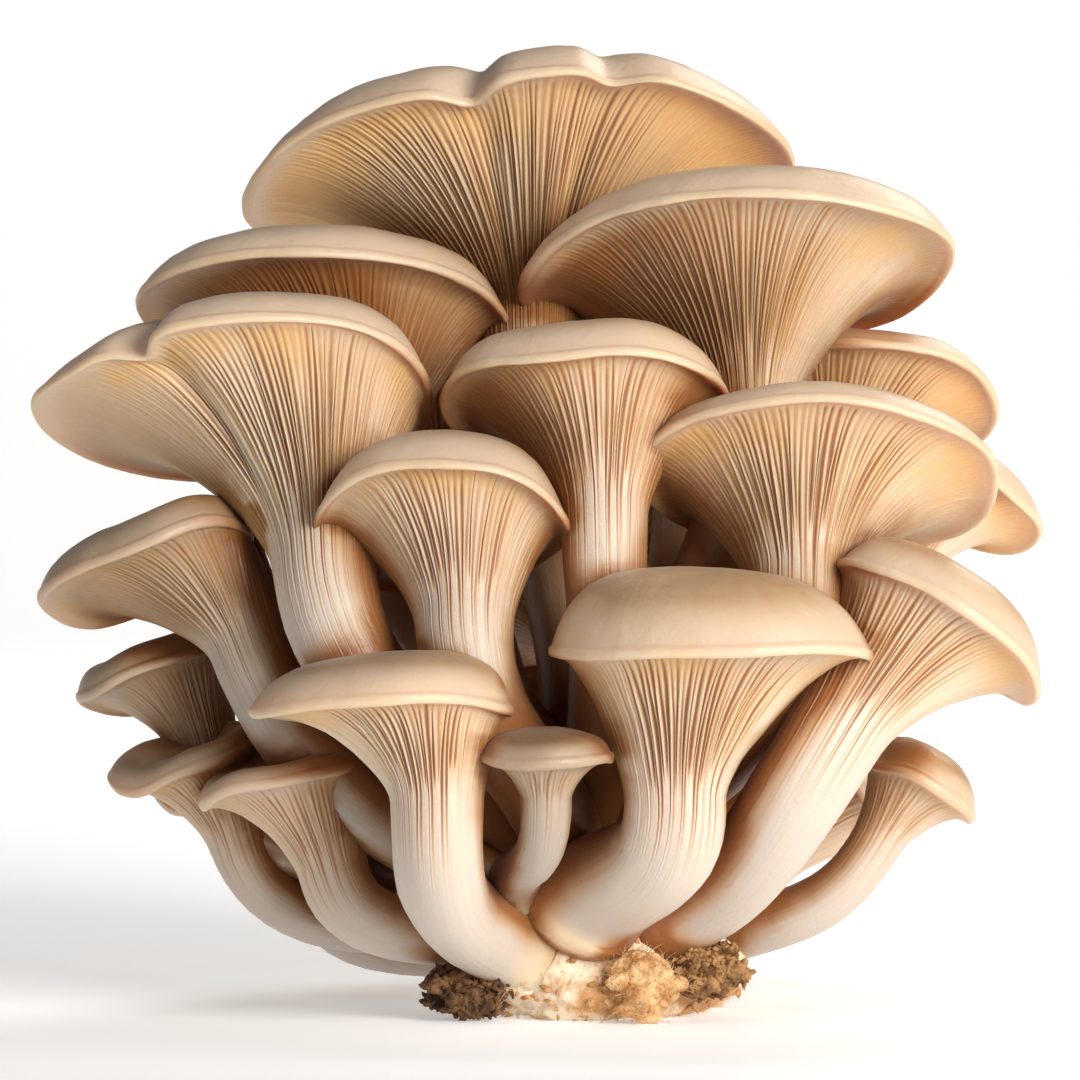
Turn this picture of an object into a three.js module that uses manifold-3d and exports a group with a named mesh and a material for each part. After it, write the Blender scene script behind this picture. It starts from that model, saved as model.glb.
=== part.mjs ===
// Oyster mushroom cluster, as picked: some thirty mushrooms that grow from one shared foot.
// Millimetres, +Z up, +X to the right and +Y to the back. The origin is on the flat cut under the foot.
// Each mushroom is one solid: a bent stem that flares into a gilled underside, a rounded margin
// and a domed or dished top. The gills are ridges raised on the underside, and run down the stem.
import * as THREE from "three";
import { mergeVertices } from "three/addons/utils/BufferGeometryUtils.js";
import Module from "manifold-3d";

const wasm = await Module();
wasm.setup();

// Driving dimensions
const GAP = 0.4; // clearance between neighbours that press on each other
const MARGIN = 2.2; // thickness of a cap's edge
const GILL_DEPTH = 1.5; // height of a gill ridge on a cap of full size
const FULL_HALF_WIDTH = 34; // half width of a cap of full size
const GILL_PITCH = 14; // rim length for each ridge
const FINENESS = 0.06; // detail below this is left out
const FOOT = { halfWidth: 25, halfDepth: 22, height: 47, flatShare: 0.72, drift: 5 };

const TURN = 2 * Math.PI;
const UP = new THREE.Vector3(0, 0, 1);
const radians = THREE.MathUtils.degToRad;
const at = (x, y, z) => new THREE.Vector3(x, y, z);

const CREAM = { color: 0xe6d3bb, roughness: 0.62, metalness: 0 };
const TAN = { color: 0xd9b88d, roughness: 0.75, metalness: 0 };
const BROWN = { color: 0x6b4523, roughness: 0.95, metalness: 0 };

// What a mushroom has unless its row says otherwise.
// cap: centre of the rim. lean: [degrees from level, azimuth that the top leans to, 90 is the back].
// half: half width, left to right, and half depth, front to back. spin: turn of that oval in its plane.
// stemAt: where the stem's axis meets the cap's plane. cup: depth from the rim to the neck.
// dome, roll and dish: the top's crown, its rolled margin and its hollow over the stem.
// neck and foot: stem radii. root and rise: where the stem starts, and in which direction.
// start and hang: how far the stem keeps its first and last direction. flare and drop: the underside's curve.
// tuck: how much of the top's crown the underside follows.
// ripple and lift: the rim's waves, in its reach and its height. notch: [azimuth, width, depth].
const USUAL = {
  half: [25, 20],
  spin: 0,
  stemAt: [0, 0],
  cup: 20,
  dome: 4,
  roll: 4,
  dish: 3,
  neck: 7,
  foot: 6,
  rise: [0, 0, 1],
  start: 0.35,
  hang: 0.45,
  flare: 0.8,
  drop: 0.8,
  tuck: 0.3,
  ripple: 0.05,
  lift: 1.5,
  twist: 0.2,
  notch: [],
};

const MUSHROOMS = [
  // The front row, whose stems show whole
  {
    name: "front_right", cap: [20, -41, 65], lean: [3, 90], half: [26.4, 21.5], stemAt: [-6, 2], cup: 25,
    dome: 7, roll: 6, dish: 0, neck: 8.5, foot: 10.5, root: [-2, -16, 18], rise: [0.5, -0.4, 0.9],
    flare: 0.75, drop: 0.7, ripple: 0.03, lift: 0.8,
  },
  {
    name: "front_left", cap: [-34.5, -41, 55], lean: [10, 90], half: [21, 18], stemAt: [9, 0], cup: 16,
    dome: 5, roll: 4, dish: 0, neck: 7.8, foot: 8.5, root: [-10, -13, 11], rise: [-0.8, -0.35, 0.4],
    start: 0.42, hang: 0.4, ripple: 0.04, lift: 1,
  },
  {
    name: "front_small", cap: [-7.6, -46, 48], lean: [4, 270], half: [10.5, 9.5], stemAt: [0, 0],
    cup: 8, dome: 1.3, roll: 2, dish: 0, neck: 4.4, foot: 4.8, root: [-13, -19, 20],
    rise: [-0.1, -0.4, 0.9], hang: 0.5, lift: 0.5,
  },
  {
    name: "low_right", cap: [58, -28, 67.5], lean: [36, 32], half: [20, 18], stemAt: [-6, 0], cup: 24,
    dome: 6, roll: 4, dish: 1, neck: 8.5, foot: 8.5, root: [11, -12, 17], rise: [0.9, -0.3, 0.35],
  },
  {
    name: "small_right", cap: [56, -12, 40], lean: [30, 15], half: [10.5, 10], stemAt: [-2, 0], cup: 12,
    dome: 4, roll: 2, dish: 0, neck: 4.6, foot: 6.5, root: [14, -2, 13], rise: [1, -0.1, 0.2], lift: 0.8,
  },
  // The middle, whose caps lean back and show their gills
  {
    name: "centre_left", cap: [-25, -25, 84.5], lean: [33, 90], half: [21.6, 20], stemAt: [4, 1], cup: 19,
    dome: 5, roll: 7, dish: 1, neck: 8.2, foot: 7, root: [-4, -9, 26], rise: [-0.1, -0.4, 1],
  },
  {
    name: "centre", cap: [-0.7, -12, 105], lean: [31, 90], half: [23.4, 19], stemAt: [3, 1], cup: 22,
    roll: 6.5, dish: 1, neck: 7.4, foot: 6.5, root: [1, -5, 34], rise: [0.1, -0.2, 1],
  },
  {
    name: "right_wide", cap: [39, -14, 92.5], lean: [37, 90], half: [30, 22.5], spin: 3, stemAt: [-4, 2],
    cup: 22, roll: 5, neck: 9, foot: 7, root: [8, -5, 30], rise: [0.6, -0.2, 0.8],
  },
  {
    name: "left_wide", cap: [-60, -6, 105], lean: [34, 92], half: [34, 25], spin: -1, stemAt: [15, 3],
    cup: 32, dome: 5, roll: 7, dish: 4, neck: 9, foot: 7, root: [-8, -3, 27], rise: [-0.5, -0.3, 0.8],
    notch: [[238, 8, 0.2]],
  },
  {
    name: "left_mid", cap: [-75, -11, 76.5], lean: [30, 130], half: [18.5, 16], stemAt: [13, 4], cup: 18,
    dome: 3, roll: 5, dish: 3, neck: 7.5, foot: 6, root: [-12, -6, 21], rise: [-0.9, -0.2, 0.4],
  },
  {
    name: "low_left", cap: [-53, -16, 42.5], lean: [15, 195], half: [14, 12.5], stemAt: [5, 1], cup: 19,
    dome: 2, roll: 2, dish: 6, neck: 6, foot: 6.2, root: [-12, -8, 13], rise: [-0.95, -0.1, 0.3],
  },
  // The upper tier
  {
    name: "upper_right", cap: [25.5, 9, 126.5], lean: [31, 92], half: [36.3, 27], spin: -13, stemAt: [0, 4],
    cup: 26, roll: 8, dish: 5, neck: 8, foot: 7, root: [6, 3, 38], rise: [0.15, -0.1, 1],
  },
  {
    name: "upper_left", cap: [-45.5, 16, 118.5], lean: [27, 92], half: [33, 24], spin: 23, stemAt: [9, 3],
    cup: 25, roll: 7, dish: 4, neck: 7.5, foot: 6, root: [-6, 4, 36], rise: [-0.4, 0, 1],
  },
  {
    name: "top", cap: [-11.5, 35, 140], lean: [36, 90], half: [46.8, 33], spin: -11, stemAt: [1, 4],
    cup: 28, dome: 5, roll: 10, dish: 9, neck: 9, foot: 7.5, root: [0, 9, 40], rise: [0, 0.1, 1],
    notch: [[232, 24, -0.1], [265, 6, 0.16], [299, 6, 0.1]], lift: 3,
  },
  {
    name: "right_behind", cap: [46, 24, 103], lean: [36, 84], half: [25, 20], stemAt: [-4, 2], cup: 20,
    neck: 7, foot: 6, root: [9, 6, 31], rise: [0.6, 0.1, 0.8],
  },
  {
    name: "far_right", cap: [61, 16, 87], lean: [34, 60], half: [17, 15], stemAt: [-4, 0], cup: 16,
    neck: 5.5, foot: 5, root: [13, 5, 25], rise: [0.8, 0.2, 0.5],
  },
  {
    name: "left_low", cap: [-74, 7, 56.5], lean: [25, 132], half: [14, 13], stemAt: [5, 1], cup: 15,
    dome: 2, roll: 4, dish: 3, neck: 5.5, foot: 5.2, root: [-14, -1, 19], rise: [-0.9, 0, 0.4],
  },
  {
    name: "left_lowest", cap: [-69, -4, 44], lean: [18, 205], half: [13, 12], stemAt: [5, 0], cup: 17,
    dome: 2, roll: 2, dish: 4, neck: 5.5, foot: 5.2, root: [-14, -2, 12], rise: [-0.95, 0, 0.3],
  },
  {
    name: "low_edge", cap: [-60, 12, 38.5], lean: [11, 185], half: [15, 13], stemAt: [8, 0], cup: 17,
    dome: 3, roll: 2, dish: 2, neck: 5.5, foot: 5.5, root: [-13, 5, 9], rise: [-0.95, 0, 0.15],
  },
  // The back, whose caps lean further and lie over each other
  {
    name: "back_high", cap: [22, 51.5, 98.5], lean: [52, 84], half: [27, 21], stemAt: [-2, 2],
    root: [6, 13, 28], rise: [0.25, 0.55, 0.85],
  },
  {
    name: "back_left", cap: [-32, 46, 92], lean: [50, 106], half: [28, 21], stemAt: [3, 2],
    root: [-5, 11, 28], rise: [-0.4, 0.5, 0.8],
  },
  {
    name: "back_right", cap: [49, 40, 66], lean: [48, 52], half: [20, 20], stemAt: [-3, -1],
    root: [12, 9, 22], rise: [0.7, 0.5, 0.5],
  },
  {
    name: "back_middle", cap: [0, 60, 70], lean: [58, 92], half: [26, 20], stemAt: [0, 1],
    root: [1, 15, 23], rise: [0, 0.8, 0.6],
  },
  {
    name: "back_low_left", cap: [-41, 44, 58], lean: [54, 126], half: [20, 19], stemAt: [2, 0],
    root: [-10, 11, 20], rise: [-0.6, 0.6, 0.5],
  },
  {
    name: "back_low_right", cap: [30, 53, 42], lean: [60, 66], half: [20, 18], stemAt: [-1, -1],
    root: [9, 13, 14], rise: [0.5, 0.8, 0.3],
  },
  {
    name: "back_low", cap: [-12, 57, 40], lean: [64, 98], half: [20, 17], stemAt: [0, -1],
    root: [-3, 16, 13], rise: [-0.2, 0.9, 0.35],
  },
  {
    name: "back_lowest", cap: [-42, 35.5, 31], lean: [60, 140], half: [15, 15], stemAt: [0, 0], cup: 16,
    neck: 5.5, foot: 5.5, root: [-12, 9, 10], rise: [-0.7, 0.55, 0.25],
  },
  {
    name: "right_lowest", cap: [43, 27, 35], lean: [52, 30], half: [15, 15], stemAt: [0, 0], cup: 16,
    neck: 5.5, foot: 5.5, root: [14, 5, 10], rise: [0.9, 0.3, 0.25],
  },
];

// A repeatable draw from 0 to 1 for a seed and a place in its series.
function draw(seed, place) {
  const x = Math.sin(seed * 12.9898 + place * 78.233) * 43758.5453;
  return x - Math.floor(x);
}

function seedOf(name) {
  return [...name].reduce((sum, letter, i) => sum + letter.charCodeAt(0) * (i + 3), 0) % 97;
}

// Three waves round the rim, about -1 to 1.
function waves(seed, phi, first) {
  const wave = (count, place) => Math.sin(count * phi + TURN * draw(seed, place));
  return 0.5 * wave(2, first) + 0.35 * wave(3, first + 1) + 0.2 * wave(5, first + 2);
}

// A mushroom's own frame and stem line, worked out from its row.
function grown(row, gillDepth = GILL_DEPTH) {
  const m = { ...USUAL, ...row, seed: seedOf(row.name) };
  const [lean, azimuth] = m.lean.map(radians);
  const level = at(Math.cos(azimuth), Math.sin(azimuth), 0);
  m.up = level.multiplyScalar(Math.sin(lean)).addScaledVector(UP, Math.cos(lean));
  m.across = at(1, 0, 0).addScaledVector(m.up, -m.up.x).normalize();
  m.across.applyAxisAngle(m.up, radians(m.spin));
  m.slope = m.up.clone().cross(m.across);
  m.centre = at(...m.cap);
  const neck = inCap(m, m.stemAt[0], m.stemAt[1], -m.cup);
  const root = at(...m.root);
  const long = neck.distanceTo(root);
  m.line = new THREE.CubicBezierCurve3(
    root,
    root.clone().addScaledVector(at(...m.rise).normalize(), m.start * long),
    neck.clone().addScaledVector(m.up, -m.hang * long),
    neck,
  );
  m.gillDepth = gillDepth * Math.sqrt(m.half[0] / FULL_HALF_WIDTH);
  m.ridges = Math.round((Math.PI * (m.half[0] + m.half[1])) / GILL_PITCH / 2) * 2;
  return m;
}

function inCap(m, across, along, height) {
  return m.centre
    .clone()
    .addScaledVector(m.across, across)
    .addScaledVector(m.slope, along)
    .addScaledVector(m.up, height);
}

// The rim at an angle: its place in the cap's plane, seen from the stem's axis, and its height.
function rimAt(m, phi) {
  let reach = 1 + m.ripple * waves(m.seed, phi, 1);
  for (const [azimuth, width, depth] of m.notch) {
    const off = ((((phi - radians(azimuth) + Math.PI) % TURN) + TURN) % TURN) - Math.PI;
    reach *= 1 - depth * Math.exp(-((off / radians(width)) ** 2));
  }
  const x = m.half[0] * Math.cos(phi) * reach - m.stemAt[0];
  const y = m.half[1] * Math.sin(phi) * reach - m.stemAt[1];
  return { x, y, far: Math.hypot(x, y), height: m.lift * waves(m.seed, phi, 5) };
}

function topHeight(m, share, rimHeight, follow = 1) {
  const crown = m.dome * (1 - share ** 2.6) + m.roll * (1 - share ** 9) - m.dish * (1 - share ** 2) ** 2;
  return rimHeight * share ** 2 + follow * crown;
}

function capPoint(m, rim, share, height) {
  return inCap(m, m.stemAt[0] + share * rim.x, m.stemAt[1] + share * rim.y, height);
}

// The gilled underside: beta runs from 0 at the neck, where it is upright, to a quarter turn at the rim.
function underPoint(m, phi, beta) {
  const rim = rimAt(m, phi);
  const inner = m.neck / rim.far;
  const share = inner + (1 - inner) * (1 - Math.cos(beta)) ** m.flare;
  const fall = topHeight(m, inner, rim.height, m.tuck) - MARGIN + m.cup;
  const height = topHeight(m, share, rim.height, m.tuck) - MARGIN - fall * (1 - Math.sin(beta)) ** m.drop;
  return capPoint(m, rim, share, height);
}

// Points round a ring, with every other one raised by ridge along the ring's own outward direction.
function ring(count, pointAt, ridge = 0) {
  const points = Array.from({ length: count }, (_, i) => pointAt((TURN * i) / count));
  if (!ridge) return points;
  const middle = points.reduce((sum, p) => sum.add(p), at(0, 0, 0)).divideScalar(count);
  return points.map((p, i) => {
    const out = p.clone().sub(middle).normalize();
    return p.clone().addScaledVector(out, i % 2 ? -ridge / 2 : ridge / 2);
  });
}

// Stem rings for shares of the way from the root to the neck, in the cap's frame carried down the line.
function stemFrames(m, shares) {
  const steps = 8;
  const frames = new Map();
  let last = 1;
  const e1 = m.across.clone();
  for (const share of [...shares].sort((a, b) => b - a)) {
    for (let k = 1; k <= steps; k++) {
      const way = m.line.getTangent(last + ((share - last) * k) / steps);
      e1.addScaledVector(way, -e1.dot(way)).normalize();
      if (k === steps) frames.set(share, { e1: e1.clone(), e2: way.clone().cross(e1) });
    }
    last = share;
  }
  return frames;
}

function stemPoint(m, frame, share, phi) {
  const rim = rimAt(m, phi);
  const turn = Math.atan2(rim.y, rim.x) + m.twist * (1 - share) ** 2;
  const rough = Math.sqrt(1 - share);
  const uneven = 1 + rough * (0.04 * Math.sin(2 * turn + m.seed) + 0.03 * Math.sin(3 * turn + 2 * m.seed));
  const radius = m.neck + (m.foot - m.neck) * (1 - share) ** 1.3 - 0.6 * Math.sin(Math.PI * share);
  return m.line
    .getPoint(share)
    .addScaledVector(frame.e1, radius * uneven * Math.cos(turn))
    .addScaledVector(frame.e2, radius * uneven * Math.sin(turn));
}

const BARE_STEM = [0, 0.28, 0.56];
const GILLED_STEM = [0.84, 1];
const STEM_SIDES = 8;
const UNDERSIDE = [
  [0.36, 0.9],
  [0.64, 1],
  [0.86, 0.7],
  [1, 0],
]; // share of a quarter turn, share of the gill depth

// All rings of a mushroom, from its root over the underside and the margin to the middle of its top.
function mushroomRings(m) {
  const frames = stemFrames(m, [...BARE_STEM, ...GILLED_STEM]);
  const sides = m.ridges * 2;
  const topSides = Math.round(sides / 2);
  const stem = (count, share, ridge) =>
    ring(count, (phi) => stemPoint(m, frames.get(share), share, phi), ridge);
  const top = (count, share, fall = 0, wider = 0) =>
    ring(count, (phi) => {
      const rim = rimAt(m, phi);
      return capPoint(m, rim, share + wider / rim.far, topHeight(m, share, rim.height) - fall);
    });
  return [
    [m.line.getPoint(0).addScaledVector(m.line.getTangent(0), -0.6 * m.foot)],
    ...BARE_STEM.map((share) => stem(STEM_SIDES, share)),
    ...GILLED_STEM.map((share) => stem(sides, share, m.gillDepth * 0.6 * share ** 3)),
    ...UNDERSIDE.map(([part, deep]) =>
      ring(sides, (phi) => underPoint(m, phi, (part * Math.PI) / 2), m.gillDepth * deep),
    ),
    top(topSides, 1, MARGIN / 2, MARGIN / 2),
    top(topSides, 0.97),
    top(topSides, 0.82),
    top(Math.round(topSides * 0.7), 0.5),
    [inCap(m, m.stemAt[0], m.stemAt[1], topHeight(m, 0, 0))],
  ];
}

// Triangles between two closed rings of any counts, of which either may be a single point.
function stitch(faces, a, b) {
  let i = 0;
  let j = 0;
  while (i < a.count || j < b.count) {
    const p = a.first + (i % a.count);
    const q = b.first + (j % b.count);
    if (j >= b.count || (i < a.count && (i + 1) / a.count <= (j + 1) / b.count)) {
      i++;
      if (a.count > 1) faces.push(p, a.first + (i % a.count), q);
    } else {
      j++;
      if (b.count > 1) faces.push(p, b.first + (j % b.count), q);
    }
  }
}

// One closed skin over a list of rings. swell moves it outwards, for cutting with a clearance.
function skin(rings, swell = 0) {
  const points = rings.flat();
  const faces = [];
  let first = 0;
  for (let k = 0; k + 1 < rings.length; k++) {
    const next = first + rings[k].length;
    stitch(faces, { first, count: rings[k].length }, { first: next, count: rings[k + 1].length });
    first = next;
  }
  const geometry = new THREE.BufferGeometry().setFromPoints(points).setIndex(faces);
  if (swell) {
    geometry.computeVertexNormals();
    const { position, normal } = geometry.attributes;
    for (let i = 0; i < position.count; i++)
      position.setXYZ(
        i,
        position.getX(i) + swell * normal.getX(i),
        position.getY(i) + swell * normal.getY(i),
        position.getZ(i) + swell * normal.getZ(i),
      );
    geometry.deleteAttribute("normal");
  }
  return geometry;
}

function solid(geometry) {
  const merged = mergeVertices(geometry, 1e-3);
  const mesh = new wasm.Mesh({
    numProp: 3,
    vertProperties: new Float32Array(merged.attributes.position.array),
    triVerts: new Uint32Array(merged.index.array),
  });
  return new wasm.Manifold(mesh);
}

// The largest body of a cut solid: loose scraps fall away.
function largest(made) {
  return made.decompose().reduce((best, body) => (body.volume() > best.volume() ? body : best));
}

function geometryOf(made) {
  const mesh = made.getMesh();
  return new THREE.BufferGeometry()
    .setAttribute("position", new THREE.BufferAttribute(new Float32Array(mesh.vertProperties), 3))
    .setIndex(new THREE.BufferAttribute(new Uint32Array(mesh.triVerts), 1));
}

// The shared foot: a lumpy, tapering butt with a flat cut underneath.
const FOOT_RINGS = [
  [0, FOOT.flatShare],
  [0.03, 0.86],
  [0.1, 1],
  [0.26, 1.02],
  [0.48, 0.82],
  [0.72, 0.58],
  [0.92, 0.36],
]; // share of the height, share of the half width
const FOOT_SIDES = 28;

function footRings() {
  const rings = FOOT_RINGS.map(([share, wide]) =>
    ring(FOOT_SIDES, (phi) => {
      const lumps = 0.07 * Math.sin(3 * phi + 9 * share) + 0.05 * Math.sin(7 * phi - 14 * share + 1);
      const reach = wide * (1 + (share ? lumps : 0));
      const y = FOOT.halfDepth * reach * Math.sin(phi) + FOOT.drift * share;
      return at(FOOT.halfWidth * reach * Math.cos(phi), y, FOOT.height * share);
    }),
  );
  return [[at(0, 0, 0)], ...rings, [at(0, FOOT.drift, FOOT.height)]];
}

// Crumbs of the straw that it grew on, still clinging to the foot: rough lumps.
const CRUMBS = [
  { name: "crumb_left", centre: [-20, -16, 5.4], half: [7, 6, 4.6], rough: 0.16 },
  { name: "crumb_right", centre: [19, -15, 8.6], half: [6.4, 5.5, 4.6], rough: 0.16 },
  { name: "crumb_front", centre: [9, -22, 7], half: [8, 4.5, 6.6], rough: 0.18 },
];
const CRUMB_SIDES = 11;
const CRUMB_RINGS = 6;

function crumbRings({ name, centre, half, rough }) {
  const seed = seedOf(name);
  const point = (turn, tilt) => {
    const lumps = Math.sin(3 * turn + 5 * tilt + seed) + 0.7 * Math.sin(5 * turn - 7 * tilt + 2 * seed);
    const reach = 1 + rough * lumps * Math.cos(tilt);
    return at(
      centre[0] + half[0] * reach * Math.cos(tilt) * Math.cos(turn),
      centre[1] + half[1] * reach * Math.cos(tilt) * Math.sin(turn),
      centre[2] + half[2] * Math.sin(tilt),
    );
  };
  const tilts = Array.from({ length: CRUMB_RINGS }, (_, k) => Math.PI * ((k + 1) / (CRUMB_RINGS + 1) - 0.5));
  return [
    [point(0, -Math.PI / 2)],
    ...tilts.map((tilt) => ring(CRUMB_SIDES, (phi) => point(phi, tilt))),
    [point(0, Math.PI / 2)],
  ];
}

const cluster = new THREE.Group();

function add(name, made, look) {
  const mesh = new THREE.Mesh(geometryOf(made), new THREE.MeshStandardMaterial(look));
  mesh.name = name;
  cluster.add(mesh);
}

const placed = [];

// Cuts a new piece clear of all pieces placed before it, and keeps its own plain form, swollen, for the next.
function settle(name, rings, plain, swell, look) {
  const whole = solid(skin(rings));
  const box = whole.boundingBox();
  let made = whole;
  for (const other of placed) {
    const near = [0, 1, 2].every((k) => box.min[k] < other.box.max[k] && box.max[k] > other.box.min[k]);
    if (near) made = made.subtract(other.swollen);
  }
  const swollen = solid(skin(plain, swell)).add(whole);
  placed.push({ swollen, box: swollen.boundingBox() });
  add(name, largest(largest(made).simplify(FINENESS)), look);
}

settle("foot", footRings(), footRings(), GAP, TAN);
for (const row of MUSHROOMS) {
  const m = grown(row);
  settle("mushroom_" + row.name, mushroomRings(m), mushroomRings(grown(row, 0)), GAP + m.gillDepth / 2, CREAM);
}
for (const crumb of CRUMBS) settle(crumb.name, crumbRings(crumb), crumbRings(crumb), GAP, BROWN);

export default cluster;
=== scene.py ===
"""Oyster mushroom cluster, as picked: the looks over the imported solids.

Every mushroom, the foot and the crumbs get a finer skin in place of their solid, from the same rows of
sizes. Sizes in the rows are in millimetres; the meshes are in metres.
"""

import math

import bpy
import numpy as np
from mathutils import Matrix, Vector
from mathutils.bvhtree import BVHTree


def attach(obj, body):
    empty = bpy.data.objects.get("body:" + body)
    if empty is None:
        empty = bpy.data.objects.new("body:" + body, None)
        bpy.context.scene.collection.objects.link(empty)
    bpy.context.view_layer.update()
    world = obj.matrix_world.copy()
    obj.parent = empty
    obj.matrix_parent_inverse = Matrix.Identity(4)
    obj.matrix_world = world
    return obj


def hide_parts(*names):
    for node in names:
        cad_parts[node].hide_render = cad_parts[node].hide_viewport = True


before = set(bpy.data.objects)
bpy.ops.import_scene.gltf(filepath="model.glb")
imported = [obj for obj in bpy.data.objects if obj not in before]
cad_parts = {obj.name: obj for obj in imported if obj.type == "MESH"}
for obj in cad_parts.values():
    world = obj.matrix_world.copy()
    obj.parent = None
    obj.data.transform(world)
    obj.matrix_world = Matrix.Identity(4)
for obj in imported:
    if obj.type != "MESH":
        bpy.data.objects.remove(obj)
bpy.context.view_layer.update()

MM = 0.001
TURN = 2 * math.pi
EDGE = 2.0  # thickness of a cap's edge
LIP = 0.6  # how far it stands out
GILL_SPACING = 1.25  # of gills at the rim
GILL_DEPTH = 1.05  # on a cap of full size
FAINTEST = 0.16  # share of their strength that gills have at the sides of a cap
ENDS, DRIFT, STRENGTH = 31, 7, 57  # each gill's own draws: added to the seed
FULL_HALF_WIDTH = 34  # half width of a cap of full size

# cap: centre of the rim. lean: degrees from level, and the azimuth that the top leans to; 90 is the back.
# half: half width and half depth. spin: turn of that oval in its plane. stem_at: where the stem's axis
# meets the cap's plane. cup: depth from the rim to the neck. dome, roll and dish: the top's crown, rolled
# margin and hollow. neck and foot: stem radii. root and rise: where the stem starts, and which way.
USUAL = dict(half=(25, 20), spin=0, stem_at=(0, 0), cup=20, dome=4, roll=4, dish=3, neck=7, foot=6,
             rise=(0, 0, 1), start=0.35, hang=0.45, flare=0.8, drop=0.8, tuck=0.3, ripple=0.05,
             lift=1.5, twist=0.2, notch=())


def mushroom(name, **sizes):
    """One row of sizes, with the usual ones filled in."""
    return dict(USUAL, name=name, **sizes) | {"seed": name_seed(name)}


def name_seed(name):
    return sum(ord(letter) * (i + 3) for i, letter in enumerate(name)) % 97


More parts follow.
